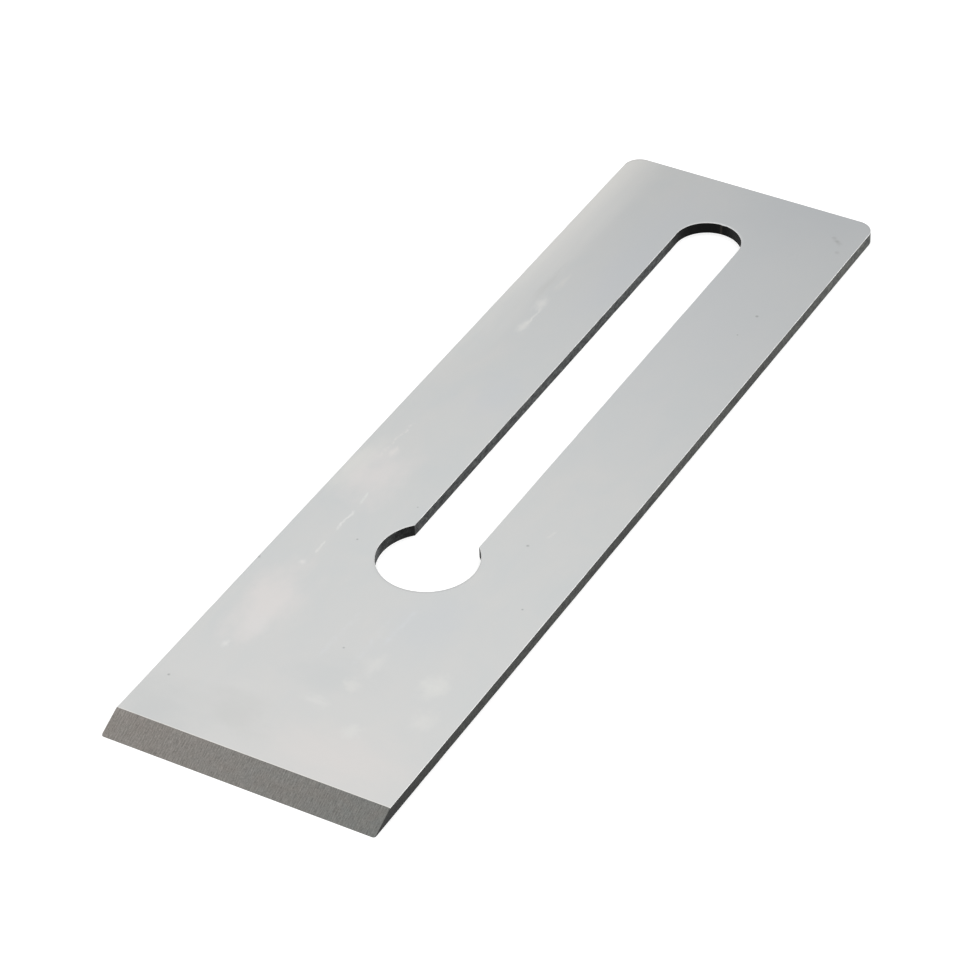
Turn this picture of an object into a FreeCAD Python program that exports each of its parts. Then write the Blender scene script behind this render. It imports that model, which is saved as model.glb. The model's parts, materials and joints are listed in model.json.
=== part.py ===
import FreeCAD, Part
import enum
import math
import os

import Sketcher

# A plane iron: one flat strip of tool steel, ground flat on both faces, bevelled at its front end
# and pierced by a keyhole. A cap-iron screw's head drops through the round part of the keyhole,
# and its neck then slides along the slot.
#
# Frame, in millimetres: X across the blade, Y along it towards the back end, Z up. The blade lies
# on its flat back, at Z = 0, with the bevel on top. The solid is drawn from its cutting edge, as
# such a blade is measured, and its placement then puts the origin under the middle of the blade.

NODE = "plane_iron"
SHEET = "Sizes"

SIZES = [
    ("blade_width", 50.8, "from side to side"),
    ("blade_length", 181.7, "from the cutting edge to the back end"),
    ("blade_thickness", 2.3, "from the flat back to the bevel side"),
    ("bevel_angle", 25.0, "degrees between the bevel and the flat back"),
    ("back_corner_radius", 3.2, "rounding of the two corners at the back end"),
    ("cutting_corner_radius", 0.5, "relief of the two corners of the cutting edge"),
    ("head_hole_diameter", 17.8, "round part of the keyhole, for the screw's head"),
    ("head_hole_setback", 60.5, "from the cutting edge to the centre of the round part"),
    ("slot_width", 12.5, "straight part of the keyhole, for the screw's neck"),
    ("back_bridge", 12.6, "steel left between the slot's round end and the back end"),
    ("rim_break", 0.06, "chamfer that takes the sharpness off a rim"),
]

size = {alias: value for alias, value, meaning in SIZES}
bevel_run = size["blade_thickness"] / math.tan(math.radians(size["bevel_angle"]))

# Two places closer than this, in millimetres, count as one.
TOLERANCE = 1e-6


class Point(enum.IntEnum):
    """The points of a line or an arc, as a sketch numbers them."""
    START = 1
    END = 2
    CENTRE = 3


class Axis(enum.IntEnum):
    """The axes that every sketch has from the start. They cross in its origin."""
    HORIZONTAL = -1
    VERTICAL = -2


ORIGIN = (Axis.HORIZONTAL, Point.START)

doc = FreeCAD.newDocument("PlaneIron")


def fill_sheet():
    """Puts the driving dimensions in a sheet: name, number and meaning in one row each."""
    sheet = doc.addObject("Spreadsheet::Sheet", SHEET)
    for row, (alias, value, meaning) in enumerate(SIZES, start=1):
        sheet.set(f"A{row}", alias)
        sheet.set(f"B{row}", str(value))
        sheet.set(f"C{row}", meaning)
        sheet.setAlias(f"B{row}", alias)
    doc.recompute()
    return sheet


def sketch_on(body, role, name):
    """A new sketch on one of the body's own origin planes."""
    sketch = body.newObject("Sketcher::SketchObject", name)
    plane = next(o for o in body.Origin.OriginFeatures if o.Role == role)
    sketch.AttachmentSupport = [(plane, "")]
    sketch.MapMode = "FlatFace"
    return sketch


def line(x1, y1, x2, y2):
    return Part.LineSegment(FreeCAD.Vector(x1, y1, 0), FreeCAD.Vector(x2, y2, 0))


def arc(centre_y, radius, first, last):
    """An arc whose centre lies on the sketch's vertical axis, turning from first to last, in radians."""
    circle = Part.Circle(FreeCAD.Vector(0, centre_y, 0), FreeCAD.Vector(0, 0, 1), radius)
    return Part.ArcOfCircle(circle, first, last)


def constrain(sketch, *facts):
    """Adds geometric constraints, each given as (kind, element, point, ...)."""
    for fact in facts:
        sketch.addConstraint(Sketcher.Constraint(*fact))


def dimension(sketch, name, formula, *fact):
    """Adds a dimension and ties it to the sheet."""
    index = sketch.addConstraint(Sketcher.Constraint(*fact))
    sketch.renameConstraint(index, name)
    sketch.setExpression(f"Constraints.{name}", formula)


def draw_outline(body):
    """The blade seen from above: a rectangle with its front side on the horizontal axis."""
    sketch = sketch_on(body, "XY_Plane", "outline")
    half, length = size["blade_width"] / 2, size["blade_length"]
    sketch.addGeometry([
        line(-half, 0, half, 0),
        line(half, 0, half, length),
        line(half, length, -half, length),
        line(-half, length, -half, 0),
    ])
    constrain(
        sketch,
        ("Coincident", 0, Point.END, 1, Point.START),
        ("Coincident", 1, Point.END, 2, Point.START),
        ("Coincident", 2, Point.END, 3, Point.START),
        ("Coincident", 3, Point.END, 0, Point.START),
        ("Vertical", 1),
        ("Vertical", 3),
        ("Horizontal", 2),
        ("Symmetric", 0, Point.START, 0, Point.END, Axis.VERTICAL),
        ("PointOnObject", 0, Point.START, Axis.HORIZONTAL),
    )
    dimension(
        sketch, "width", "Sizes.blade_width * 1 mm",
        "DistanceX", 0, Point.START, 0, Point.END, 2 * half,
    )
    dimension(
        sketch, "length", "Sizes.blade_length * 1 mm",
        "DistanceY", 1, Point.START, 1, Point.END, length,
    )
    return sketch


def draw_bevel_cut(body):
    """What the grinding takes away, seen from the side: a triangle whose long side is the bevel.

    The long side passes through the cutting edge, which is this sketch's origin. The other two
    sides stand one blade thickness clear of the blank, in front of it and above it."""
    sketch = sketch_on(body, "YZ_Plane", "bevel_cut")
    thickness, angle = size["blade_thickness"], math.radians(size["bevel_angle"])
    top = 2 * thickness
    sketch.addGeometry([
        line(-thickness, -thickness * math.tan(angle), top / math.tan(angle), top),
        line(top / math.tan(angle), top, -thickness, top),
        line(-thickness, top, -thickness, -thickness * math.tan(angle)),
    ])
    constrain(
        sketch,
        ("Coincident", 0, Point.END, 1, Point.START),
        ("Coincident", 1, Point.END, 2, Point.START),
        ("Coincident", 2, Point.END, 0, Point.START),
        ("Horizontal", 1),
        ("Vertical", 2),
        ("PointOnObject", *ORIGIN, 0),
    )
    dimension(sketch, "angle", "Sizes.bevel_angle * 1 deg", "Angle", 0, angle)
    dimension(
        sketch, "front", "Sizes.blade_thickness * 1 mm",
        "DistanceX", 0, Point.START, *ORIGIN, thickness,
    )
    dimension(
        sketch, "top", "2 * Sizes.blade_thickness * 1 mm",
        "DistanceY", *ORIGIN, 1, Point.START, top,
    )
    return sketch


def draw_keyhole(body):
    """The round hole for the screw's head, open at the back into the slot for its neck."""
    sketch = sketch_on(body, "XY_Plane", "keyhole")
    radius, half = size["head_hole_diameter"] / 2, size["slot_width"] / 2
    centre = size["head_hole_setback"]
    end = size["blade_length"] - size["back_bridge"] - half
    mouth_angle = math.acos(half / radius)
    mouth = centre + radius * math.sin(mouth_angle)
    sketch.addGeometry([
        arc(centre, radius, math.pi - mouth_angle, 2 * math.pi + mouth_angle),
        line(half, mouth, half, end),
        arc(end, half, 0, math.pi),
        line(-half, end, -half, mouth),
    ])
    constrain(
        sketch,
        ("Coincident", 0, Point.END, 1, Point.START),
        ("Tangent", 1, Point.END, 2, Point.START),
        ("Tangent", 2, Point.END, 3, Point.START),
        ("Coincident", 3, Point.END, 0, Point.START),
        ("Vertical", 1),
        ("Vertical", 3),
        ("PointOnObject", 0, Point.CENTRE, Axis.VERTICAL),
        ("PointOnObject", 2, Point.CENTRE, Axis.VERTICAL),
    )
    dimension(sketch, "head_hole", "Sizes.head_hole_diameter * 1 mm", "Diameter", 0, 2 * radius)
    dimension(sketch, "slot", "Sizes.slot_width * 1 mm", "Diameter", 2, 2 * half)
    dimension(
        sketch, "setback", "Sizes.head_hole_setback * 1 mm",
        "DistanceY", *ORIGIN, 0, Point.CENTRE, centre,
    )
    dimension(
        sketch, "slot_end", "(Sizes.blade_length - Sizes.back_bridge - Sizes.slot_width / 2) * 1 mm",
        "DistanceY", *ORIGIN, 2, Point.CENTRE, end,
    )
    return sketch


def edge_names(shape, wanted):
    """The names by which a feature picks these edges of a shape."""
    return [
        f"Edge{number}"
        for number, edge in enumerate(shape.Edges, start=1)
        if any(edge.isSame(other) for other in wanted)
    ]


def is_upright(edge):
    return max(edge.BoundBox.XLength, edge.BoundBox.YLength) < TOLERANCE


def upright_corners(shape, y):
    """The upright edges of a shape that stand at this distance from the cutting edge."""
    return [
        edge for edge in shape.Edges
        if is_upright(edge) and abs(edge.CenterOfMass.y - y) < TOLERANCE
    ]


def level_face(shape, z):
    """The largest level face of a shape at this height."""
    level = [
        face for face in shape.Faces
        if face.BoundBox.ZLength < TOLERANCE and abs(face.CenterOfMass.z - z) < TOLERANCE
    ]
    return max(level, key=lambda face: face.Area)


def inner_edges(face):
    """The edges round the openings of a face."""
    return [
        edge for wire in face.Wires if not wire.isSame(face.OuterWire) for edge in wire.Edges
    ]


def round_corners(body, name, y, alias):
    """Rounds the two upright corners at this distance from the cutting edge."""
    before = body.Tip
    fillet = body.newObject("PartDesign::Fillet", name)
    fillet.Base = (before, edge_names(before.Shape, upright_corners(before.Shape, y)))
    fillet.setExpression("Radius", f"{SHEET}.{alias} * 1 mm")
    doc.recompute()
    return fillet


def cut(body, sketch, name, both_ways):
    """Cuts a sketch right through the body, and makes sure that steel was removed."""
    before = body.Tip.Shape.Volume
    pocket = body.newObject("PartDesign::Pocket", name)
    pocket.Profile = sketch
    pocket.Type = "ThroughAll"
    if both_ways:
        pocket.SideType = "Symmetric"
    else:
        pocket.Reversed = True
    sketch.Visibility = False
    doc.recompute()
    if pocket.Shape.Volume >= before - TOLERANCE:
        raise ValueError(f"{name} removes nothing")
    return pocket


def break_rims(body):
    """Takes the sharpness off the keyhole's two rims and the bevel side's outer rim.

    The bevel's own edges stay crisp, because they are ground last, and so do the flat back's
    long edges, which run out into the cutting edge."""
    before = body.Tip
    top = level_face(before.Shape, size["blade_thickness"])
    back = level_face(before.Shape, 0)
    outer = [edge for edge in top.OuterWire.Edges if edge.CenterOfMass.y > bevel_run + TOLERANCE]
    rims = outer + inner_edges(top) + inner_edges(back)
    chamfer = body.newObject("PartDesign::Chamfer", "rim_breaks")
    chamfer.Base = (before, edge_names(before.Shape, rims))
    chamfer.setExpression("Size", f"{SHEET}.rim_break * 1 mm")
    doc.recompute()
    return chamfer


def make_plane_iron():
    """The whole blade, made in the order of the workshop: blank, corners, keyhole, bevel, rims."""
    body = doc.addObject("PartDesign::Body", NODE)
    body.Label = NODE

    blank = body.newObject("PartDesign::Pad", "blank")
    blank.Profile = draw_outline(body)
    blank.setExpression("Length", f"{SHEET}.blade_thickness * 1 mm")
    body.Tip = blank
    doc.recompute()

    round_corners(body, "back_corners", size["blade_length"], "back_corner_radius")
    round_corners(body, "cutting_corners", 0, "cutting_corner_radius")
    cut(body, draw_keyhole(body), "keyhole_cut", both_ways=False)
    cut(body, draw_bevel_cut(body), "bevel", both_ways=True)
    break_rims(body)

    body.setExpression("Placement.Base.y", f"-{SHEET}.blade_length / 2 * 1 mm")
    doc.recompute()
    return body


def check(body):
    """Stops the script if anything in the document failed, or if the blade isn't one sound solid."""
    for item in doc.Objects:
        if "Invalid" in item.State or "Error" in item.State:
            raise ValueError(f"{item.Name} failed: {item.State}")
    shape = body.Shape
    if shape.isNull() or not shape.isValid() or len(shape.Solids) != 1:
        raise ValueError(f"{body.Label} isn't one valid solid")


fill_sheet()
plane_iron = make_plane_iron()
check(plane_iron)

os.makedirs("parts", exist_ok=True)
plane_iron.Shape.exportStep(f"parts/{plane_iron.Label}.step")

solid = plane_iron.Shape
box = solid.BoundBox
print(f"{plane_iron.Label}: {solid.Volume:.1f} cubic mm, {len(solid.Faces)} faces")
print(f"X {box.XMin:.3f} to {box.XMax:.3f}")
print(f"Y {box.YMin:.3f} to {box.YMax:.3f}")
print(f"Z {box.ZMin:.3f} to {box.ZMax:.3f}")
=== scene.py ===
# %% [markdown]
# # A plane iron, dressed for its photograph
#
# A plane iron is the blade of a hand plane: one strip of tool steel, ground flat on both faces,
# with a bevel at its front end and a keyhole through it. There is nothing to assemble, so all of
# the work goes into one mesh and into the finish of its surfaces:
#
# - the two wide faces, surface-ground to a cloudy satin;
# - the bevel, ground more coarsely, with lines that run up to the cutting edge;
# - the outer walls and the keyhole's walls, which were never ground, so they are dark and rough;
# - the rims, where the sharpness was taken off and bare steel catches the light, with a painted
#   highlight on top.
#
# The imported part is loaded first. It gives the blade's true size and place.

import json
import math

import bmesh
import bpy
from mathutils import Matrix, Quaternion, Vector, noise


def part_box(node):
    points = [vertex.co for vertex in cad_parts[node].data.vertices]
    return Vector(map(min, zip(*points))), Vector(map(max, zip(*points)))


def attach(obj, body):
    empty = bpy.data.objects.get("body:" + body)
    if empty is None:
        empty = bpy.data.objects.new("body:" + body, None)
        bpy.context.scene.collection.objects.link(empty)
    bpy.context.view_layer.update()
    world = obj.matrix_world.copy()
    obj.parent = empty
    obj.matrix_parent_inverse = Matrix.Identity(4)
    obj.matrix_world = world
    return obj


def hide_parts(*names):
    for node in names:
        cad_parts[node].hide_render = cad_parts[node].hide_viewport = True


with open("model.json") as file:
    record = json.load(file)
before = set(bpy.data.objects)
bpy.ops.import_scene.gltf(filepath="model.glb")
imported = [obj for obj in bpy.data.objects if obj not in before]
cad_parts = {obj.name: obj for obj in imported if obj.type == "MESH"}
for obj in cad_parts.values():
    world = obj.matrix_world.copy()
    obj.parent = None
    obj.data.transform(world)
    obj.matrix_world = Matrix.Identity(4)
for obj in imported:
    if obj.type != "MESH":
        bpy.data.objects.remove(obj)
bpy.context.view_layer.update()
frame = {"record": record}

MM = 0.001
NODE = "plane_iron"
low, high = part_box(NODE)
width, length, thickness = high - low
print(f"blade {width / MM:.1f} x {length / MM:.1f} x {thickness / MM:.1f} mm")

# %% [markdown]
# ## The sizes that shape the blade
#
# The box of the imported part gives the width, the length and the thickness, and the record's mount
# gives the round part of the keyhole. The rest are the blade's own sizes. The cutting edge lies at
# the low end of Y, and distances along the blade are measured from it, as a toolmaker does.

# %% Sizes
BEVEL_ANGLE = math.radians(25)
BACK_CORNER_RADIUS = 3.2 * MM
CUTTING_CORNER_RADIUS = 0.5 * MM
SLOT_WIDTH = 12.5 * MM
BACK_BRIDGE = 12.6 * MM
RIM_BREAK = 0.06 * MM
TOUCHING = 0.001 * MM

mounts = {mount["name"]: mount for mount in frame["record"]["mounts"]}
hole_radius = mounts["screw_head_hole"]["dims"]["r_mm"] * MM
hole_y = mounts["screw_head_hole"]["pos_m"][1]

half_slot = SLOT_WIDTH / 2
slot_end_y = high.y - BACK_BRIDGE - half_slot
mouth_angle = math.acos(half_slot / hole_radius)
mouth_y = hole_y + hole_radius * math.sin(mouth_angle)
bevel_run = thickness / math.tan(BEVEL_ANGLE)
heel_y = low.y + bevel_run
bevel_normal = Vector((0, -math.sin(BEVEL_ANGLE), math.cos(BEVEL_ANGLE)))
print(f"bevel {bevel_run / MM:.2f} mm long, slot opens at {(mouth_y - low.y) / MM:.1f} mm")

# %% [markdown]
# ## The blade seen from above
#
# The outline starts as a flat rectangle whose corners are rounded with a vertex bevel, which makes
# a true arc when its profile is 0.5. The keyhole could be cut out with a boolean, but an arc that
# is spun from one point keeps its facets even and its corner with the slot clean. Triangle fill
# then closes the flat shape between the two loops, and leaves the keyhole open.

# %% Outline and keyhole
ARC_STEPS = 96


def corners_at(bm, y):
    return [v for v in bm.verts if abs(v.co.y - y) < TOUCHING]


def round_corners(bm, y, radius, segments):
    bmesh.ops.bevel(
        bm, geom=corners_at(bm, y), affect="VERTICES", offset_type="OFFSET", offset=radius,
        segments=segments, profile=0.5, clamp_overlap=True, material=-1,
    )


def spin_point(bm, start, centre, angle, steps):
    """Spins one point into an arc, and gives the arc's first and last point."""
    first = bm.verts.new(start)
    made = bmesh.ops.spin(
        bm, geom=[first], cent=centre, axis=(0, 0, 1), dvec=(0, 0, 0),
        angle=angle, steps=steps, use_merge=False, use_normal_flip=False, use_duplicate=False,
    )
    last = next(v for v in made["geom_last"] if isinstance(v, bmesh.types.BMVert))
    return first, last


def flat_outline(bm):
    bmesh.ops.create_grid(bm, x_segments=1, y_segments=1, size=0.5)
    bmesh.ops.scale(bm, vec=(width, length, 1), verts=bm.verts[:])
    middle = (low + high) / 2
    bmesh.ops.translate(bm, vec=(middle.x, middle.y, low.z), verts=bm.verts[:])
    round_corners(bm, high.y, BACK_CORNER_RADIUS, segments=16)
    round_corners(bm, low.y, CUTTING_CORNER_RADIUS, segments=6)
    bmesh.ops.delete(bm, geom=bm.faces[:], context="FACES_ONLY")


def flat_keyhole(bm):
    turn = math.pi + 2 * mouth_angle
    mouth_right, mouth_left = spin_point(
        bm, (half_slot, mouth_y, low.z), (0, hole_y, low.z), -turn, ARC_STEPS,
    )
    end_right, end_left = spin_point(
        bm, (half_slot, slot_end_y, low.z), (0, slot_end_y, low.z), math.pi, ARC_STEPS // 2,
    )
    bm.edges.new((mouth_right, end_right))
    bm.edges.new((end_left, mouth_left))


bm = bmesh.new()
flat_outline(bm)
flat_keyhole(bm)
print(f"two loops of {len(bm.edges)} edges in all")

# %% [markdown]
# ## Long edges that are not quite straight
#
# A blank is sheared or sawn, and the keyhole is punched or milled, so their long edges wander by a
# few hundredths of a millimetre. Straight runs are divided first, and each point is then moved in
# the plane of the blade by a smooth noise that is read at its own place, so that it is the same on
# every run. The outer sides only lose steel, so that the blade stays within its true width, and
# the front of the blade stays straight, because it is ground. Once the flat shape is filled, an
# inset lays an even band of faces along both loops, which is what the rims are rounded into later.

# %% Divide the long edges, let them wander and fill the shape
DIVISION = 2.5 * MM
WANDER = 0.035 * MM
WANDER_WAVES = 260.0
RIM_BAND = 0.5 * MM


def divide_long_edges(bm):
    along = [e for e in bm.edges if abs((e.verts[0].co - e.verts[1].co).y) > DIVISION]
    for edge in along:
        cuts = int(edge.calc_length() / DIVISION)
        bmesh.ops.subdivide_edges(bm, edges=[edge], cuts=cuts)


def wander(bm):
    for vert in bm.verts:
        if vert.co.y < heel_y + DIVISION:
            continue
        drift = noise.noise(vert.co * WANDER_WAVES) * WANDER
        outward = Vector((math.copysign(1, vert.co.x), 0, 0))
        is_outer_side = abs(vert.co.x) > width / 2 - TOUCHING
        vert.co += outward * (-abs(drift) if is_outer_side else drift)


def fill_flat(bm):
    bmesh.ops.triangle_fill(
        bm, use_beauty=True, use_dissolve=False, edges=bm.edges[:], normal=(0, 0, 1),
    )
    bmesh.ops.inset_region(
        bm, faces=bm.faces[:], thickness=RIM_BAND, depth=0, use_boundary=True, use_even_offset=True,
    )


divide_long_edges(bm)
wander(bm)
fill_flat(bm)
print(f"flat shape: {len(bm.verts)} points, {len(bm.faces)} faces")

# %% [markdown]
# ## Thickness, and the grinding of the bevel
#
# The flat shape gets its thickness from one extrusion. The bevel is then made as a grinder makes
# it: one plane, at 25 degrees through the cutting edge, takes away everything above it.

# %% Extrude and grind
GRIND_TOLERANCE = TOUCHING / 10


def thicken(bm):
    made = bmesh.ops.extrude_face_region(bm, geom=bm.faces[:], use_keep_orig=True)
    raised = [v for v in made["geom"] if isinstance(v, bmesh.types.BMVert)]
    bmesh.ops.translate(bm, vec=(0, 0, thickness), verts=raised)
    bmesh.ops.recalc_face_normals(bm, faces=bm.faces[:])


def grind_bevel(bm):
    everything = bm.verts[:] + bm.edges[:] + bm.faces[:]
    bmesh.ops.bisect_plane(
        bm, geom=everything, dist=GRIND_TOLERANCE, plane_co=(0, low.y, low.z),
        plane_no=bevel_normal, clear_outer=True, clear_inner=False,
    )
    rim = [e for e in bm.edges if e.is_boundary]
    bmesh.ops.triangle_fill(bm, use_beauty=True, use_dissolve=True, edges=rim, normal=bevel_normal)
    bmesh.ops.remove_doubles(bm, verts=bm.verts[:], dist=TOUCHING)
    bmesh.ops.recalc_face_normals(bm, faces=bm.faces[:])


thicken(bm)
grind_bevel(bm)
print(f"solid: {len(bm.faces)} faces, closed: {all(e.is_manifold for e in bm.edges)}, "
      f"{bm.calc_volume() * 1e9:.0f} cubic mm")

# %% [markdown]
# ## Regions, rounded rims and crisp edges
#
# Each face is given its finish by the way it points: up or down for the two ground faces, along
# the bevel's own normal for the bevel, and anything else is a wall, of the blade's outside or of
# the keyhole. After that the rims are rounded by 0.06 mm in three steps, and the new faces get a
# finish of their own, because bare steel shows there. The cutting edge and the heel, where the
# bevel meets the wide face, are ground last, so they are marked sharp and aren't rounded.

# %% Regions and rims
TOP, BACK, BEVEL, SIDE, KEYHOLE, RIM = range(6)
RIM_STEPS = 3
CRISP_ANGLE = math.radians(33)
ALIGNED = 0.999
KEYHOLE_MARGIN = 1.0 * MM
keyhole_low_y = hole_y - hole_radius - KEYHOLE_MARGIN
keyhole_high_y = high.y - BACK_BRIDGE + KEYHOLE_MARGIN


def region_of(face):
    if face.normal.z > ALIGNED:
        return TOP
    if face.normal.z < -ALIGNED:
        return BACK
    if face.normal.dot(bevel_normal) > ALIGNED:
        return BEVEL
    middle = face.calc_center_median()
    is_narrow = abs(middle.x) < hole_radius + KEYHOLE_MARGIN
    return KEYHOLE if is_narrow and keyhole_low_y < middle.y < keyhole_high_y else SIDE


def name_regions(bm):
    bm.normal_update()
    for face in bm.faces:
        face.material_index = region_of(face)


def between(edge, *regions):
    return {face.material_index for face in edge.link_faces} == set(regions)


def round_rims(bm):
    rims = [
        e for e in bm.edges
        if between(e, TOP, SIDE) or between(e, TOP, KEYHOLE) or between(e, BACK, KEYHOLE)
    ]
    made = bmesh.ops.bevel(
        bm, geom=rims, affect="EDGES", offset_type="OFFSET", offset=RIM_BREAK,
        segments=RIM_STEPS, profile=0.5, clamp_overlap=True, material=-1,
    )
    for face in made["faces"]:
        face.material_index = RIM
    return len(made["faces"])


def mark_crisp_edges(bm):
    bm.normal_update()
    for face in bm.faces:
        face.smooth = True
    for edge in bm.edges:
        on_bevel = any(face.material_index == BEVEL for face in edge.link_faces)
        inside_bevel = on_bevel and between(edge, BEVEL)
        edge.smooth = inside_bevel or not on_bevel and edge.calc_face_angle(0) < CRISP_ANGLE


name_regions(bm)
rim_faces = round_rims(bm)
mark_crisp_edges(bm)
print(f"{rim_faces} rim faces, {sum(not e.smooth for e in bm.edges)} crisp edges")

# %% [markdown]
# ## A nick in the rim
#
# Where the cutter that made the slot left the steel, at the slot's far end, the rim has one small
# nick. Pulling the nearest rim points down and back is enough for something of this size.

# %% Nick the rim
NICK_PLACE = Vector((0.18, 78.35, 2.3)) * MM
NICK_REACH = 0.45 * MM
NICK_PULL = Vector((0.0, 0.12, -0.25)) * MM


def nick_rim(bm):
    near = [v for v in bm.verts if (v.co - NICK_PLACE).length < NICK_REACH]
    for vert in near:
        vert.co += NICK_PULL * (1 - (vert.co - NICK_PLACE).length / NICK_REACH)
    return len(near)


print(f"{nick_rim(bm)} points moved for the nick")

# %% [markdown]
# ## The blade as an object
#
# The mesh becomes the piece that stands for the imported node. A weighted normal modifier makes the
# wide faces shade perfectly flat right up to their rounded rims.

# %% Make the object
def finish_mesh(bm, name):
    mesh = bpy.data.meshes.new(name)
    bm.to_mesh(mesh)
    bm.free()
    piece = bpy.data.objects.new(name, mesh)
    bpy.context.scene.collection.objects.link(piece)
    shading = piece.modifiers.new("flat_faces", "WEIGHTED_NORMAL")
    shading.mode = "FACE_AREA"
    shading.keep_sharp = True
    return piece


blade = finish_mesh(bm, "blade")
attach(blade, "root")
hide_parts(NODE)
print(f"{blade.name}: {len(blade.data.polygons)} faces")

# %% [markdown]
# ## Small helpers for node trees
#
# A shader is a tree of nodes, and a long chain of them is easier to read when one line adds one
# node. `add` puts a node in a tree and fills its inputs, each from a number or from another node's
# output. The others name the few kinds of node that are used most. A Mix node has a socket for
# each kind of data: its two colours are inputs 6 and 7, and the mixed colour is output 2.

# %% Node helpers
def add(tree, kind, inputs=None, **settings):
    node = tree.nodes.new(kind)
    for setting, value in settings.items():
        setattr(node, setting, value)
    for socket, value in (inputs or {}).items():
        if isinstance(value, bpy.types.NodeSocket):
            tree.links.new(value, node.inputs[socket])
        else:
            node.inputs[socket].default_value = value
    return node


def maths(tree, operation, first, second=0.0, clamp=False):
    node = add(tree, "ShaderNodeMath", {0: first, 1: second}, operation=operation, use_clamp=clamp)
    return node.outputs["Value"]


def vectors(tree, operation, first, second=(0, 0, 0)):
    node = add(tree, "ShaderNodeVectorMath", {0: first, 1: second}, operation=operation)
    gives_number = operation in ("LENGTH", "DISTANCE", "DOT_PRODUCT")
    return node.outputs["Value" if gives_number else "Vector"]


def scaled(tree, vector, factor):
    """Multiplies a vector, or a colour, by one number."""
    node = add(tree, "ShaderNodeVectorMath", {0: vector, "Scale": factor}, operation="SCALE")
    return node.outputs["Vector"]


def ramp(tree, value, from_low, from_high, to_low=0.0, to_high=1.0, eased=True):
    """Maps one range of values to another, and holds the ends."""
    ranges = {"From Min": from_low, "From Max": from_high, "To Min": to_low, "To Max": to_high}
    kind = "SMOOTHSTEP" if eased else "LINEAR"
    node = add(tree, "ShaderNodeMapRange", {"Value": value, **ranges}, interpolation_type=kind)
    return node.outputs["Result"]


def blend(tree, factor, first, second):
    """Mixes two colours."""
    node = add(tree, "ShaderNodeMix", {0: factor, 6: first, 7: second}, data_type="RGBA")
    return node.outputs[2]


def coordinates(tree, x=0.0, y=0.0, z=0.0):
    return add(tree, "ShaderNodeCombineXYZ", {"X": x, "Y": y, "Z": z}).outputs["Vector"]


def parts_of(tree, vector):
    return add(tree, "ShaderNodeSeparateXYZ", {0: vector}).outputs


print("helpers ready")

# %% [markdown]
# ## Groups, and a place in millimetres
#
# A node group lets one effect serve several materials, each with its own values. `new_group` opens
# one with named inputs and outputs, and `use` puts it in a material. All patterns are read in
# object coordinates, so they stay on the steel, and in millimetres, so that their sizes are true.

# %% Group helpers
KINDS = {"vector": "NodeSocketVector", "number": "NodeSocketFloat"}


def new_group(name, inputs, output):
    tree = bpy.data.node_groups.new(name, "ShaderNodeTree")
    for label, kind, value in inputs:
        socket = tree.interface.new_socket(label, in_out="INPUT", socket_type=KINDS[kind])
        if value is not None:
            socket.default_value = value
    tree.interface.new_socket(output, in_out="OUTPUT", socket_type=KINDS["number"])
    given = tree.nodes.new("NodeGroupInput").outputs
    result = tree.nodes.new("NodeGroupOutput").inputs
    return tree, given, result


def use(tree, group, inputs):
    return add(tree, "ShaderNodeGroup", inputs, node_tree=group).outputs[0]


def millimetres(tree):
    place = add(tree, "ShaderNodeTexCoord").outputs["Object"]
    return scaled(tree, place, 1 / MM)


print("group helpers ready")

# %% [markdown]
# ## Five shared effects
#
# Five effects make up all the finishes of this blade. Each reads a place in millimetres and gives
# back one number from 0 to 1:
#
# - grinding lines, which are a noise stretched along the way the wheel ran;
# - cloudiness, the soft mottling of a flat steel face that has been wiped and handled;
# - specks, small pits that are scattered thinly, one in a few cells of a cell pattern;
# - a patch, one soft stain with a ragged edge;
# - a scratch, one mark that wavers, comes and goes along its length and fades at both ends.
#
# Blender's noise keeps to the middle of its range, so two of the effects stretch it to 0 and 1.

# %% Grinding lines
NOISE_LOW, NOISE_MIDDLE, NOISE_HIGH = 0.25, 0.5, 0.75


def noise_at(tree, place, **inputs):
    """Reads a noise at a place. Its scale is 1 unless another one is given."""
    node = add(tree, "ShaderNodeTexNoise", {"Vector": place, "Scale": 1.0, **inputs})
    return node.outputs["Fac"]


def build_grinding_lines():
    tree, given, result = new_group(
        "grinding_lines",
        [("Place", "vector", None), ("Lines per mm", "number", 4.0),
         ("Line length", "number", 20.0), ("Seed", "number", 0.0)],
        "Height",
    )
    place = parts_of(tree, given["Place"])
    across = maths(tree, "MULTIPLY", place["X"], given["Lines per mm"])
    along = maths(tree, "DIVIDE", place["Y"], given["Line length"])
    stretched = coordinates(tree, across, along, given["Seed"])
    lines = noise_at(tree, stretched, Detail=3.0, Roughness=0.65)
    tree.links.new(ramp(tree, lines, NOISE_LOW, NOISE_HIGH, eased=False), result["Height"])
    return tree


grinding_lines = build_grinding_lines()
print(f"{grinding_lines.name}: {len(grinding_lines.nodes)} nodes")

# %% Cloudiness
def build_cloudiness():
    tree, given, result = new_group(
        "cloudiness",
        [("Place", "vector", None), ("Cloud size", "number", 12.0),
         ("Drag", "number", 2.0), ("Seed", "number", 0.0)],
        "Tone",
    )
    dragged = maths(tree, "MULTIPLY", given["Cloud size"], given["Drag"])
    size = coordinates(tree, given["Cloud size"], dragged, given["Cloud size"])
    divided = vectors(tree, "DIVIDE", given["Place"], size)
    seeded = vectors(tree, "ADD", divided, coordinates(tree, z=given["Seed"]))
    cloud = noise_at(tree, seeded, Detail=4.0, Roughness=0.55, Distortion=0.6)
    tree.links.new(ramp(tree, cloud, NOISE_LOW, NOISE_HIGH, eased=False), result["Tone"])
    return tree


cloudiness = build_cloudiness()
print(f"{cloudiness.name}: {len(cloudiness.nodes)} nodes")

# %% Specks
SMALLEST_SPECK = 0.4
SPECK_CORE = 0.3


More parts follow.
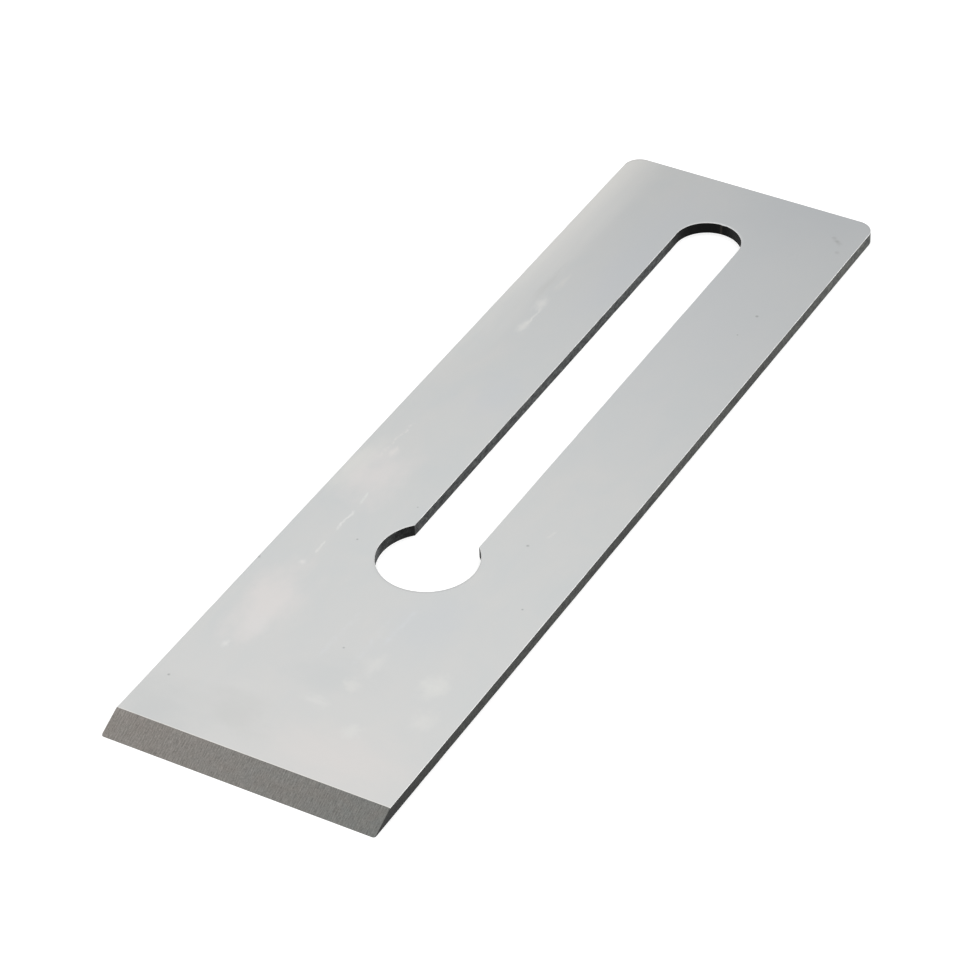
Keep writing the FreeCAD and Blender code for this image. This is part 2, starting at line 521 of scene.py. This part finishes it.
def build_specks():
    tree, given, result = new_group(
        "specks",
        [("Place", "vector", None), ("Spacing", "number", 6.0),
         ("Speck size", "number", 0.2), ("Share", "number", 0.3)],
        "Mask",
    )
    spacing = coordinates(tree, given["Spacing"], given["Spacing"], given["Spacing"])
    divided = vectors(tree, "DIVIDE", given["Place"], spacing)
    cells = add(tree, "ShaderNodeTexVoronoi", {"Vector": divided, "Scale": 1.0}, feature="F1")
    distance = maths(tree, "MULTIPLY", cells.outputs["Distance"], given["Spacing"])
    draw = parts_of(tree, cells.outputs["Color"])
    share_of_size = maths(tree, "ADD", draw["Y"], SMALLEST_SPECK)
    own_size = maths(tree, "MULTIPLY", given["Speck size"], share_of_size)
    spot = ramp(tree, maths(tree, "DIVIDE", distance, own_size), 1.0, SPECK_CORE)
    chosen = maths(tree, "LESS_THAN", draw["X"], given["Share"])
    tree.links.new(maths(tree, "MULTIPLY", spot, chosen), result["Mask"])
    return tree


specks = build_specks()
print(f"{specks.name}: {len(specks.nodes)} nodes")

# %% Patch
def build_patch():
    tree, given, result = new_group(
        "patch",
        [("Place", "vector", None), ("Centre", "vector", (0, 0, 0)),
         ("Reach", "vector", (5, 5, 50)), ("Raggedness", "number", 0.5)],
        "Mask",
    )
    offset = vectors(tree, "SUBTRACT", given["Place"], given["Centre"])
    shrunk = vectors(tree, "DIVIDE", offset, given["Reach"])
    own_noise_place = vectors(tree, "ADD", shrunk, given["Centre"])
    noise_here = noise_at(tree, own_noise_place, Scale=1.7, Detail=4.0, Roughness=0.6)
    centred = maths(tree, "SUBTRACT", noise_here, NOISE_MIDDLE)
    unevenness = maths(tree, "MULTIPLY", centred, given["Raggedness"])
    distance = maths(tree, "ADD", vectors(tree, "LENGTH", shrunk), unevenness)
    tree.links.new(ramp(tree, distance, 1.0, 0.0), result["Mask"])
    return tree


patch = build_patch()
print(f"{patch.name}: {len(patch.nodes)} nodes")

# %% Scratch
FADE_SHARE = 0.15
WHOLE_ABOVE = 0.65


def build_scratch():
    tree, given, result = new_group(
        "scratch",
        [("Place", "vector", None), ("Start", "vector", (0, 0, 0)), ("End", "vector", (0, 10, 0)),
         ("Width", "number", 0.3), ("Gaps", "number", 0.5), ("Waver", "number", 0.0)],
        "Mask",
    )
    flat = vectors(tree, "MULTIPLY", given["Place"], (1, 1, 0))
    bends = noise_at(tree, flat, Scale=0.55, Detail=2.0, Roughness=0.5)
    aside = maths(tree, "MULTIPLY", maths(tree, "SUBTRACT", bends, NOISE_MIDDLE), given["Waver"])
    bent = vectors(tree, "ADD", flat, coordinates(tree, x=aside))
    run = vectors(tree, "SUBTRACT", given["End"], given["Start"])
    offset = vectors(tree, "SUBTRACT", bent, given["Start"])
    along = vectors(tree, "DOT_PRODUCT", offset, run)
    whole = vectors(tree, "DOT_PRODUCT", run, run)
    share = maths(tree, "DIVIDE", along, whole, clamp=True)
    distance = vectors(tree, "DISTANCE", offset, scaled(tree, run, share))
    line = ramp(tree, maths(tree, "DIVIDE", distance, given["Width"]), 1.0, 0.0)
    fade_in = ramp(tree, share, 0.0, FADE_SHARE)
    fade_out = ramp(tree, share, 1.0, 1.0 - FADE_SHARE)
    broken = noise_at(tree, flat, Scale=0.9, Detail=3.0, Roughness=0.7)
    gone_below = maths(tree, "MULTIPLY", given["Gaps"], NOISE_MIDDLE)
    present = ramp(tree, broken, gone_below, WHOLE_ABOVE)
    strength = maths(tree, "MULTIPLY", maths(tree, "MULTIPLY", fade_in, fade_out), present)
    tree.links.new(maths(tree, "MULTIPLY", line, strength), result["Mask"])
    return tree


scratch = build_scratch()
print(f"{scratch.name}: {len(scratch.nodes)} nodes")

# %% [markdown]
# ## The two ground faces
#
# Ground steel is bare metal: its colour comes from what it mirrors, blurred by its roughness, and
# the written base colour is what a white room shows in it. A cool and a warm grey lie close
# together, and the clouds mix them. The grain of the grinding runs along the blade and is so fine
# that it only shows up close.

# %% Ground faces
FACE_COOL = (0.574, 0.592, 0.594, 1)
FACE_WARM = (0.606, 0.608, 0.600, 1)
FACE_ROUGHNESS = 0.33


def new_material(name, metallic):
    material = bpy.data.materials.new(name)
    material.use_nodes = True
    tree = material.node_tree
    tree.nodes.clear()
    shader = add(tree, "ShaderNodeBsdfPrincipled", {"Metallic": metallic})
    add(tree, "ShaderNodeOutputMaterial", {"Surface": shader.outputs[0]})
    return material, tree, shader


def cloudy_steel(tree, place, seed):
    clouds = use(tree, cloudiness, {"Place": place, "Cloud size": 7.0, "Drag": 1.9, "Seed": seed})
    return blend(tree, clouds, FACE_COOL, FACE_WARM)


def grind_surface(tree, shader, place, seed):
    """Gives the shader the fine grain of a surface grinder."""
    grain = use(tree, grinding_lines, {
        "Place": place, "Lines per mm": 6.0, "Line length": 14.0, "Seed": seed,
    })
    bump = add(tree, "ShaderNodeBump", {"Height": grain, "Strength": 0.05, "Distance": 0.02 * MM})
    tree.links.new(bump.outputs["Normal"], shader.inputs["Normal"])
    shader.inputs["Roughness"].default_value = FACE_ROUGHNESS


print(f"ground steel has a roughness of {FACE_ROUGHNESS}")

# %% [markdown]
# ## Stains and scratches, each in its place
#
# The bevel side has been lain on, wiped and dried, so it has marks that a random pattern wouldn't
# put in the right place. They are listed one by one, in millimetres from the middle of the blade,
# and each becomes one patch or one scratch that is mixed over the steel. Two of the broad patches
# are not marks: a light strip along the left side towards the back is a painted reflection, and a
# darker patch at the back on the right is painted shade. A stain has its centre, its reach across
# and along, how ragged it is, its tint, and how much of that tint shows. A scratch has its two
# ends, its width, how many gaps it has, its tint, and how much of that shows. The light line along
# the heel is a painted highlight, laid like a scratch but quite straight, and it runs past both
# sides of the blade, so that its faded ends lie outside.

# %% Places of the marks
STAINS_SHEEN_AND_SHADE = [
    ((0.0, -100.0), (70.0, 80.0), 0.3, (0.612, 0.604, 0.592), 0.7),
    ((10.0, 60.0), (40.0, 75.0), 0.3, (0.578, 0.594, 0.606), 0.7),
    # A light strip along the left side towards the back: a painted reflection.
    ((-26.0, 88.0), (9.5, 90.0), 0.5, (0.750, 0.742, 0.718), 1.0),
    ((-23.5, -14.0), (4.5, 11.0), 1.2, (0.680, 0.675, 0.650), 0.7),
    ((-18.5, -15.0), (7.0, 12.0), 1.2, (0.672, 0.650, 0.640), 0.8),
    ((-18.0, -52.0), (8.0, 15.0), 1.4, (0.668, 0.646, 0.634), 0.9),
    ((-16.4, -58.5), (3.6, 4.2), 1.6, (0.665, 0.652, 0.645), 0.6),
    ((-18.3, -64.6), (0.9, 1.4), 1.0, (0.690, 0.690, 0.680), 0.8),
    ((-18.0, -41.0), (0.9, 0.9), 1.0, (0.700, 0.690, 0.680), 0.8),
    ((-19.5, -8.4), (1.1, 2.2), 1.4, (0.700, 0.680, 0.665), 0.7),
    ((12.0, -80.0), (18.0, 10.0), 1.2, (0.643, 0.622, 0.608), 0.8),
    ((-20.0, -83.0), (13.0, 11.0), 1.2, (0.550, 0.560, 0.557), 0.8),
    ((-8.0, -78.0), (10.0, 7.0), 1.4, (0.560, 0.563, 0.554), 0.7),
    ((1.0, -63.0), (12.0, 7.0), 1.4, (0.565, 0.577, 0.576), 0.7),
    ((2.2, -69.8), (3.4, 1.9), 1.4, (0.640, 0.640, 0.628), 0.8),
    ((5.2, -64.0), (2.4, 2.2), 1.6, (0.650, 0.648, 0.630), 0.7),
    ((6.0, -58.0), (2.2, 4.5), 1.6, (0.640, 0.640, 0.628), 0.7),
    ((17.4, -58.2), (3.6, 4.4), 1.4, (0.655, 0.656, 0.638), 0.9),
    ((20.0, -66.0), (3.2, 3.6), 1.6, (0.640, 0.640, 0.626), 0.8),
    ((11.0, -73.5), (2.4, 2.8), 1.6, (0.650, 0.650, 0.634), 0.7),
    ((-10.0, -71.5), (5.0, 2.2), 1.6, (0.625, 0.622, 0.610), 0.4),
    ((8.0, -45.0), (9.0, 15.0), 1.2, (0.573, 0.588, 0.597), 0.8),
    # A darker patch at the back on the right: painted shade.
    ((14.0, 92.0), (24.0, 24.0), 0.8, (0.548, 0.566, 0.580), 0.9),
    ((-11.0, 14.0), (6.0, 12.0), 1.2, (0.572, 0.590, 0.604), 0.7),
    ((-9.0, 62.0), (8.0, 36.0), 1.0, (0.572, 0.588, 0.604), 0.8),
    ((-17.4, 33.8), (1.3, 3.0), 1.2, (0.690, 0.690, 0.675), 0.9),
    ((-17.8, 41.2), (1.5, 3.2), 1.2, (0.690, 0.690, 0.675), 0.9),
    ((-17.5, 48.5), (1.0, 4.5), 1.6, (0.640, 0.640, 0.626), 0.7),
    ((-19.6, 47.0), (1.2, 9.0), 1.4, (0.560, 0.565, 0.556), 0.6),
    ((21.1, 83.1), (0.6, 0.5), 1.0, (0.420, 0.430, 0.430), 0.8),
    ((22.6, 79.9), (0.7, 0.7), 1.0, (0.500, 0.510, 0.510), 0.9),
]
SPECKS = [
    ((-22.3, -75.4), 0.38), ((13.3, -20.0), 0.42), ((18.4, 55.6), 0.45), ((17.8, 49.0), 0.25),
    ((-0.6, -56.6), 0.30), ((20.5, -34.8), 0.30), ((-12.9, -31.7), 0.30), ((-8.2, -19.6), 0.22),
    ((-25.2, -43.2), 0.45),
]
SCRATCHES = [
    ((-17.3, -38.2), (-17.4, -34.3), 0.35, 0.2, (0.700, 0.700, 0.685), 0.8),
    ((-17.4, -31.5), (-17.2, -25.0), 0.40, 0.2, (0.730, 0.730, 0.720), 0.9),
    ((-17.4, -23.6), (-17.7, -19.8), 0.35, 0.2, (0.690, 0.705, 0.690), 0.8),
    ((-21.4, -11.5), (-20.3, 1.0), 0.45, 0.8, (0.710, 0.695, 0.680), 0.7),
    ((-17.2, 34.0), (-17.2, 40.0), 0.40, 0.2, (0.720, 0.720, 0.705), 0.8),
    ((3.0, -60.5), (2.6, -46.5), 0.80, 0.7, (0.615, 0.625, 0.632), 0.6),
    ((-3.2, -61.0), (-2.6, -47.0), 0.80, 0.7, (0.615, 0.625, 0.632), 0.6),
    ((4.6, -53.5), (5.4, -42.5), 0.90, 0.6, (0.610, 0.622, 0.632), 0.7),
    ((19.6, 84.3), (22.4, 82.1), 0.70, 0.3, (0.470, 0.480, 0.480), 0.7),
    ((15.4, -16.9), (15.8, -14.4), 0.40, 0.4, (0.670, 0.665, 0.650), 0.6),
]
# A light line along the heel, laid like a scratch: a painted highlight.
HEEL_HIGHLIGHT = ((-36.0, heel_y / MM), (36.0, heel_y / MM), 0.30, 0.2, (0.800, 0.780, 0.740), 0.7)
print(f"{len(STAINS_SHEEN_AND_SHADE)} stains, {len(SCRATCHES)} scratches, {len(SPECKS)} specks")

# %% [markdown]
# ## Laying the marks on the steel
#
# Each mark's mask decides how far the colour so far gives way to the mark's own tint. The marks are
# laid one over the other: stains first, then scratches, which cut through them, and specks last.
# Patches reach far deeper than the blade is thick, so that they don't fade with depth. The back was
# never seen in the photograph, so it gets the same steel with a few scattered specks and no marks.

# %% Lay the marks
SPECK_COLOUR = (0.30, 0.31, 0.31, 1)
SPECK_STRENGTH = 0.75
FACE_Z = high.z / MM
DEEP = 50.0


# Lays listed patches over a colour: real stains, and also the painted light and shade that some
# lists hold.
def lay_patches(tree, place, colour, stains):
    for centre, reach, raggedness, tint, strength in stains:
        mask = use(tree, patch, {
            "Place": place, "Centre": (*centre, FACE_Z),
            "Reach": (*reach, DEEP), "Raggedness": raggedness,
        })
        colour = blend(tree, maths(tree, "MULTIPLY", mask, strength), colour, (*tint, 1))
    return colour


def lay_specks(tree, place, colour, specks_here):
    for centre, size in specks_here:
        mask = use(tree, patch, {
            "Place": place, "Centre": (*centre, FACE_Z),
            "Reach": (size, size, DEEP), "Raggedness": 0.8,
        })
        colour = blend(tree, maths(tree, "MULTIPLY", mask, SPECK_STRENGTH), colour, SPECK_COLOUR)
    return colour


def lay_scratches(tree, place, colour, scratches, waver):
    for start, end, breadth, gaps, tint, strength in scratches:
        mask = use(tree, scratch, {
            "Place": place, "Start": (*start, 0), "End": (*end, 0),
            "Width": breadth, "Gaps": gaps, "Waver": waver,
        })
        colour = blend(tree, maths(tree, "MULTIPLY", mask, strength), colour, (*tint, 1))
    return colour


def marked_face():
    material, tree, shader = new_material("face_ground", metallic=1.0)
    place = millimetres(tree)
    colour = cloudy_steel(tree, place, seed=0.0)
    colour = lay_patches(tree, place, colour, STAINS_SHEEN_AND_SHADE)
    colour = lay_scratches(tree, place, colour, SCRATCHES, waver=1.3)
    # The painted highlight along the heel.
    colour = lay_scratches(tree, place, colour, [HEEL_HIGHLIGHT], waver=0.0)
    colour = lay_specks(tree, place, colour, SPECKS)
    tree.links.new(colour, shader.inputs["Base Color"])
    grind_surface(tree, shader, place, seed=0.0)
    return material


def plain_face():
    material, tree, shader = new_material("back_ground", metallic=1.0)
    place = millimetres(tree)
    pits = use(tree, specks, {"Place": place, "Spacing": 12.0, "Speck size": 0.3, "Share": 0.2})
    colour = blend(tree, pits, cloudy_steel(tree, place, seed=20.0), SPECK_COLOUR)
    tree.links.new(colour, shader.inputs["Base Color"])
    grind_surface(tree, shader, place, seed=20.0)
    return material


finishes = {TOP: marked_face(), BACK: plain_face()}
print(f"{len(finishes)} wide faces ready")

# %% [markdown]
# ## The bevel
#
# A bevel is ground on a coarser wheel, so it mirrors less. Its colour is painted far darker than
# ground steel, which is painted shade. Its lines run up to the cutting edge: shorter and longer
# ones lie side by side, and the feed of the wheel leaves a faint even ripple across them, about one
# every half millimetre. The steel is a little lighter and warmer on the left than on the right, and
# has brown and green tarnish in soft small clouds.

# %% Bevel
# Both bevel colours are painted darker than bare ground steel: painted shade.
BEVEL_LEFT = (0.298, 0.277, 0.260, 1)
BEVEL_RIGHT = (0.185, 0.193, 0.188, 1)
BEVEL_BROWN = (0.250, 0.220, 0.197, 1)
BEVEL_GREEN = (0.196, 0.209, 0.190, 1)
BROWN_SHARE = 0.45
GREEN_SHARE = 0.25
LEFT_X, RIGHT_X = -25.0, 25.0
WHEEL_FEED = 0.48
FEED_DEPTH = 0.045
LINE_DARKEST, LINE_LIGHTEST = 0.40, 1.62


def bevel_lines(tree, place):
    """The height of the grinding lines, which both the colour and the bump follow."""
    shorter = use(tree, grinding_lines, {
        "Place": place, "Lines per mm": 7.0, "Line length": 0.3, "Seed": 2.0,
    })
    longer = use(tree, grinding_lines, {
        "Place": place, "Lines per mm": 6.0, "Line length": 1.3, "Seed": 6.0,
    })
    lines = maths(tree, "MULTIPLY", maths(tree, "ADD", shorter, longer), 0.5)
    turns = maths(tree, "MULTIPLY", parts_of(tree, place)["X"], 2 * math.pi / WHEEL_FEED)
    feed = maths(tree, "MULTIPLY", maths(tree, "SINE", turns), FEED_DEPTH)
    return maths(tree, "ADD", lines, feed)


# The bevel's painted shade, lighter on the left, with its real tarnish over it.
def shaded_tarnished_steel(tree, place):
    across = ramp(tree, parts_of(tree, place)["X"], LEFT_X, RIGHT_X, eased=False)
    steel = blend(tree, across, BEVEL_LEFT, BEVEL_RIGHT)
    brown = use(tree, cloudiness, {"Place": place, "Cloud size": 3.5, "Drag": 0.7, "Seed": 4.0})
    browned = blend(tree, maths(tree, "MULTIPLY", brown, BROWN_SHARE), steel, BEVEL_BROWN)
    green = use(tree, cloudiness, {"Place": place, "Cloud size": 1.4, "Drag": 1.6, "Seed": 14.0})
    return blend(tree, maths(tree, "MULTIPLY", green, GREEN_SHARE), browned, BEVEL_GREEN)


def ground_bevel():
    material, tree, shader = new_material("bevel_ground", metallic=1.0)
    place = millimetres(tree)
    height = bevel_lines(tree, place)
    level = ramp(tree, height, 0.0, 1.0, LINE_DARKEST, LINE_LIGHTEST, eased=False)
    lined = scaled(tree, shaded_tarnished_steel(tree, place), level)
    tree.links.new(lined, shader.inputs["Base Color"])
    shader.inputs["Roughness"].default_value = 0.42
    bump = add(tree, "ShaderNodeBump", {"Height": height, "Strength": 0.25, "Distance": 0.02 * MM})
    tree.links.new(bump.outputs["Normal"], shader.inputs["Normal"])
    return material


finishes[BEVEL] = ground_bevel()
print("bevel ready")

# %% [markdown]
# ## The walls
#
# The walls were never ground. They keep a dark, dull skin with blotches of olive and grey, which is
# rough oxide and not bare metal, so its metallic value is 0. Blotches give its colour. A much finer
# grit makes it rough and speckled. One function makes this skin for both kinds of wall.

# %% Dull skin
GRIT_DARKEST, GRIT_LIGHTEST = 0.35, 1.65


def dull_skin(tree, shader, place, dark, light, seed):
    """Blotched colour and a rough surface, which both kinds of wall share."""
    blotches = use(tree, cloudiness, {
        "Place": place, "Cloud size": 0.8, "Drag": 1.6, "Seed": seed,
    })
    grit = use(tree, cloudiness, {
        "Place": place, "Cloud size": 0.28, "Drag": 1.0, "Seed": seed + 1.0,
    })
    bump = add(tree, "ShaderNodeBump", {"Height": grit, "Strength": 0.5, "Distance": 0.05 * MM})
    tree.links.new(bump.outputs["Normal"], shader.inputs["Normal"])
    shader.inputs["Roughness"].default_value = 0.7
    speckle = ramp(tree, grit, 0.0, 1.0, GRIT_DARKEST, GRIT_LIGHTEST, eased=False)
    return scaled(tree, blend(tree, blotches, dark, light), speckle)


print("dull skin ready")

# %% [markdown]
# ## The outer walls
#
# On the outer sides the skin is painted lighter towards the back end and darker towards the
# front: this is painted shade. A few broad dark patches lie over it.

# %% Outer walls
SIDE_DARK = (0.020, 0.021, 0.022, 1)
SIDE_OLIVE = (0.120, 0.123, 0.112, 1)
# Broad dark patches on the outer walls.
SIDE_DARK_PATCHES = [
    ((25.4, -10.0), (4.0, 16.0), 0.6, (0.030, 0.030, 0.029), 0.45),
    ((25.4, 41.0), (4.0, 18.0), 0.6, (0.030, 0.030, 0.029), 0.45),
    ((25.4, -90.0), (4.0, 26.0), 0.4, (0.012, 0.012, 0.012), 0.5),
    ((25.4, 62.0), (4.0, 10.0), 0.6, (0.030, 0.030, 0.029), 0.25),
]
# Painted shade along the outer walls: darker at the front end, lighter at the back.
SIDE_ENDS = (-90.0, 90.0)
SIDE_LEVELS = (0.43, 1.50)


def side_wall():
    material, tree, shader = new_material("side_skin_and_shade", metallic=0.0)
    shader.inputs["Specular IOR Level"].default_value = 0.3
    place = millimetres(tree)
    skin = dull_skin(tree, shader, place, SIDE_DARK, SIDE_OLIVE, seed=9.0)
    # Painted shade: the skin darkens towards the front end.
    painted_shade_ramp = ramp(tree, parts_of(tree, place)["Y"], *SIDE_ENDS, *SIDE_LEVELS, eased=False)
    colour = lay_patches(tree, place, scaled(tree, skin, painted_shade_ramp), SIDE_DARK_PATCHES)
    tree.links.new(colour, shader.inputs["Base Color"])
    return material


finishes[SIDE] = side_wall()
print("outer walls ready")

# %% [markdown]
# ## The keyhole's walls
#
# In the keyhole the skin is painted nearly black where the slot opens from the round hole, and
# round the slot's far end: this is painted shade. Where it lies is worked out along the blade, in
# millimetres from the slot's mouth and from the centre of its far end, and the deeper of the two
# wins.

# %% Keyhole walls
KEYHOLE_DARK = (0.020, 0.021, 0.023, 1)
KEYHOLE_GREY = (0.115, 0.120, 0.118, 1)
KEYHOLE_SHADE_AND_MARK = [
    # A dark patch at the slot's far end: painted shade.
    ((2.9, 77.5), (2.4, 5.0), 0.3, (0.024, 0.024, 0.023), 0.8),
    # A narrow brown mark at the slot's far end: a real mark on the steel.
    ((-0.25, 78.2), (0.35, 1.2), 0.0, (0.085, 0.072, 0.060), 0.45),
]
# How far the painted shade darkens the keyhole's skin, and where it lies.
SKIN_LEVEL = 1.35
SHADE_LEVEL = 0.05
MOUTH_SHADE_STARTS = -8.0
MOUTH_SHADE_DEEPENS = (-7.2, -1.5)
MOUTH_SHADE_SHARES = (0.33, 0.83)
SLOT_SHADE_SHARE = 0.2
SLOT_SHADE_REACH = 24.0
SLOT_END_SHADE = (-8.0, 3.5)


def shade_in_hole(tree, from_mouth):
    """The share of painted shade in the round hole, which deepens up to the slot's mouth."""
    in_hole = maths(tree, "LESS_THAN", from_mouth, 0.0)
    shade_started = ramp(tree, from_mouth, MOUTH_SHADE_STARTS, MOUTH_SHADE_DEEPENS[0])
    shade_deepens = ramp(tree, from_mouth, *MOUTH_SHADE_DEEPENS, *MOUTH_SHADE_SHARES, eased=False)
    return maths(tree, "MULTIPLY", maths(tree, "MULTIPLY", in_hole, shade_started), shade_deepens)


def shade_in_slot(tree, from_mouth):
    """The share of painted shade in the slot, which fades out from the mouth on."""
    in_slot = maths(tree, "GREATER_THAN", from_mouth, 0.0)
    painted_shade_ramp = ramp(tree, from_mouth, 0.0, SLOT_SHADE_REACH, SLOT_SHADE_SHARE, 0.0, eased=False)
    return maths(tree, "MULTIPLY", in_slot, painted_shade_ramp)


def keyhole_wall():
    material, tree, shader = new_material("keyhole_skin_and_shade", metallic=0.0)
    shader.inputs["Specular IOR Level"].default_value = 0.12
    place = millimetres(tree)
    skin = dull_skin(tree, shader, place, KEYHOLE_DARK, KEYHOLE_GREY, seed=30.0)
    along = parts_of(tree, place)["Y"]
    from_mouth = maths(tree, "SUBTRACT", along, mouth_y / MM)
    from_end = maths(tree, "SUBTRACT", along, slot_end_y / MM)
    shade_at_mouth = maths(
        tree, "ADD", shade_in_hole(tree, from_mouth), shade_in_slot(tree, from_mouth),
    )
    # Painted shade: the deeper of the two places wins.
    scale = maths(tree, "MAXIMUM", shade_at_mouth, ramp(tree, from_end, *SLOT_END_SHADE))
    level = ramp(tree, scale, 0.0, 1.0, SKIN_LEVEL, SHADE_LEVEL, eased=False)
    colour = lay_patches(tree, place, scaled(tree, skin, level), KEYHOLE_SHADE_AND_MARK)
    tree.links.new(colour, shader.inputs["Base Color"])
    return material


finishes[KEYHOLE] = keyhole_wall()
print("keyhole walls ready")

# %% [markdown]
# ## The rims
#
# The rims are bare steel, rubbed when the sharpness was taken off and each time the blade is
# handled. Their colour is painted lighter than bare steel is, up to near white: a painted highlight
# on top of the real wear. Brighter and duller places take turns.

# %% Rims
RIM_DULL = (0.60, 0.60, 0.59, 1)
# Near white is a painted highlight: bare steel isn't this light.
RIM_BRIGHT = (0.95, 0.95, 0.94, 1)


def bare_rim():
    material, tree, shader = new_material("rim_bare_glint", metallic=1.0)
    place = millimetres(tree)
    wear_and_glint = use(tree, cloudiness, {"Place": place, "Cloud size": 1.6, "Drag": 2.0, "Seed": 3.0})
    tree.links.new(blend(tree, wear_and_glint, RIM_DULL, RIM_BRIGHT), shader.inputs["Base Color"])
    shader.inputs["Roughness"].default_value = 0.3
    return material


finishes[RIM] = bare_rim()
for region in sorted(finishes):
    blade.data.materials.append(finishes[region])
print(f"{len(blade.data.materials)} finishes on the blade")

# %% [markdown]
# ## Floor
#
# A white surface right under the blade keeps its shadow. In a photograph of such a small thing the
# floor is lit until it is pure white, but more light would wash out the steel as well. So the floor
# glows a little, and only for rays that look at it, straight or in a mirror, and not for the light
# that it throws back at the blade.

# %% Floor
FLOOR_HALF = 4.0
FLOOR_GAP = 0.02 * MM
FLOOR_WHITE = (0.8, 0.8, 0.8, 1)
FLOOR_GLOW = 0.55


def floor_material():
    material = bpy.data.materials.new("floor_white")
    material.use_nodes = True
    tree = material.node_tree
    tree.nodes.clear()
    matt = add(tree, "ShaderNodeBsdfDiffuse", {"Color": FLOOR_WHITE})
    glow = add(tree, "ShaderNodeEmission", {"Color": (1, 1, 1, 1), "Strength": FLOOR_GLOW})
    both = add(tree, "ShaderNodeAddShader", {0: matt.outputs[0], 1: glow.outputs[0]})
    rays = add(tree, "ShaderNodeLightPath").outputs
    mirrored = maths(tree, "MAXIMUM", rays["Is Glossy Ray"], rays["Is Transmission Ray"])
    looked_at = maths(tree, "MAXIMUM", rays["Is Camera Ray"], mirrored)
    surface = add(
        tree, "ShaderNodeMixShader", {0: looked_at, 1: matt.outputs[0], 2: both.outputs[0]},
    )
    add(tree, "ShaderNodeOutputMaterial", {"Surface": surface.outputs[0]})
    return material


def make_floor():
    bm = bmesh.new()
    bmesh.ops.create_grid(bm, x_segments=1, y_segments=1, size=FLOOR_HALF)
    bmesh.ops.translate(bm, vec=(0, 0, low.z - FLOOR_GAP), verts=bm.verts[:])
    mesh = bpy.data.meshes.new("floor")
    bm.to_mesh(mesh)
    bm.free()
    mesh.materials.append(floor_material())
    floor = bpy.data.objects.new("floor", mesh)
    bpy.context.scene.collection.objects.link(floor)
    return floor


floor = make_floor()
print(f"{floor.name}: {2 * FLOOR_HALF:.0f} m across")

# %% [markdown]
# ## Light
#
# The light is a plain white room, a little below full strength, and two panels. The large one hangs
# level over the blade, behind it and to its left. The blade's face mirrors it softly, strongest at
# its front end, where the camera's line of sight bounces into the panel, and hardly at its back
# end. The small one stands to the right and behind, turned to the blade, where only the rims
# mirror it towards the camera.

# %% Light
ROOM_LEVEL = 0.70
FACE_PANEL = {"place": (-0.20, 0.151, 0.45), "size": (0.752, 0.642), "level": 0.49}
FACE_PANEL_TURN = math.radians(-28.8)
RIM_PANEL = {"place": (0.75, 0.80, 0.50), "size": (0.60, 0.50), "level": 2.2}


def make_room():
    world = bpy.data.worlds.new("room")
    bpy.context.scene.world = world
    world.use_nodes = True
    tree = world.node_tree
    tree.nodes.clear()
    walls = add(tree, "ShaderNodeBackground", {"Color": (1, 1, 1, 1), "Strength": ROOM_LEVEL})
    add(tree, "ShaderNodeOutputWorld", {"Surface": walls.outputs[0]})


def make_panel(name, place, size, level):
    """A panel whose energy is worked out from how bright its surface looks."""
    light = bpy.data.lights.new(name, "AREA")
    light.shape = "RECTANGLE"
    light.size, light.size_y = size
    light.energy = level * math.pi * light.size * light.size_y
    panel = bpy.data.objects.new(name, light)
    bpy.context.scene.collection.objects.link(panel)
    panel.location = place
    panel.visible_camera = False
    print(f"{name}: {light.energy:.2f} W")
    return panel


make_room()
face_panel = make_panel("face_panel", **FACE_PANEL)
face_panel.rotation_euler = (0, 0, FACE_PANEL_TURN)
rim_panel = make_panel("rim_panel", **RIM_PANEL)
rim_panel.rotation_euler = (-rim_panel.location).to_track_quat("-Z", "Y").to_euler()

# %% [markdown]
# ## Camera
#
# The camera's place and lens were worked out from the straight edges of the blade in the
# photograph: their directions give its angle, and how fast they run together gives its distance.
# It looks at the blade from the right and from above, and is turned a little about its own axis.

# %% Camera
SENSOR = 36.0
LENS = 150.17
CAMERA_PLACE = Vector((276.94, -477.48, 435.99)) * MM
CAMERA_AIM = Vector((-1.10, -7.40, 0.0)) * MM
CAMERA_ROLL = math.radians(-1.965)
NEAR_CLIP = 0.01


def make_camera():
    data = bpy.data.cameras.new("camera")
    data.sensor_width = SENSOR
    data.lens = LENS
    data.clip_start = NEAR_CLIP
    camera = bpy.data.objects.new("camera", data)
    bpy.context.scene.collection.objects.link(camera)
    camera.location = CAMERA_PLACE
    camera.rotation_mode = "QUATERNION"
    level = (CAMERA_AIM - CAMERA_PLACE).to_track_quat("-Z", "Y")
    camera.rotation_quaternion = level @ Quaternion((0, 0, 1), CAMERA_ROLL)
    return camera


bpy.context.scene.camera = make_camera()
bpy.context.scene.view_settings.view_transform = "Standard"
print(f"camera {(CAMERA_AIM - CAMERA_PLACE).length:.2f} m away")
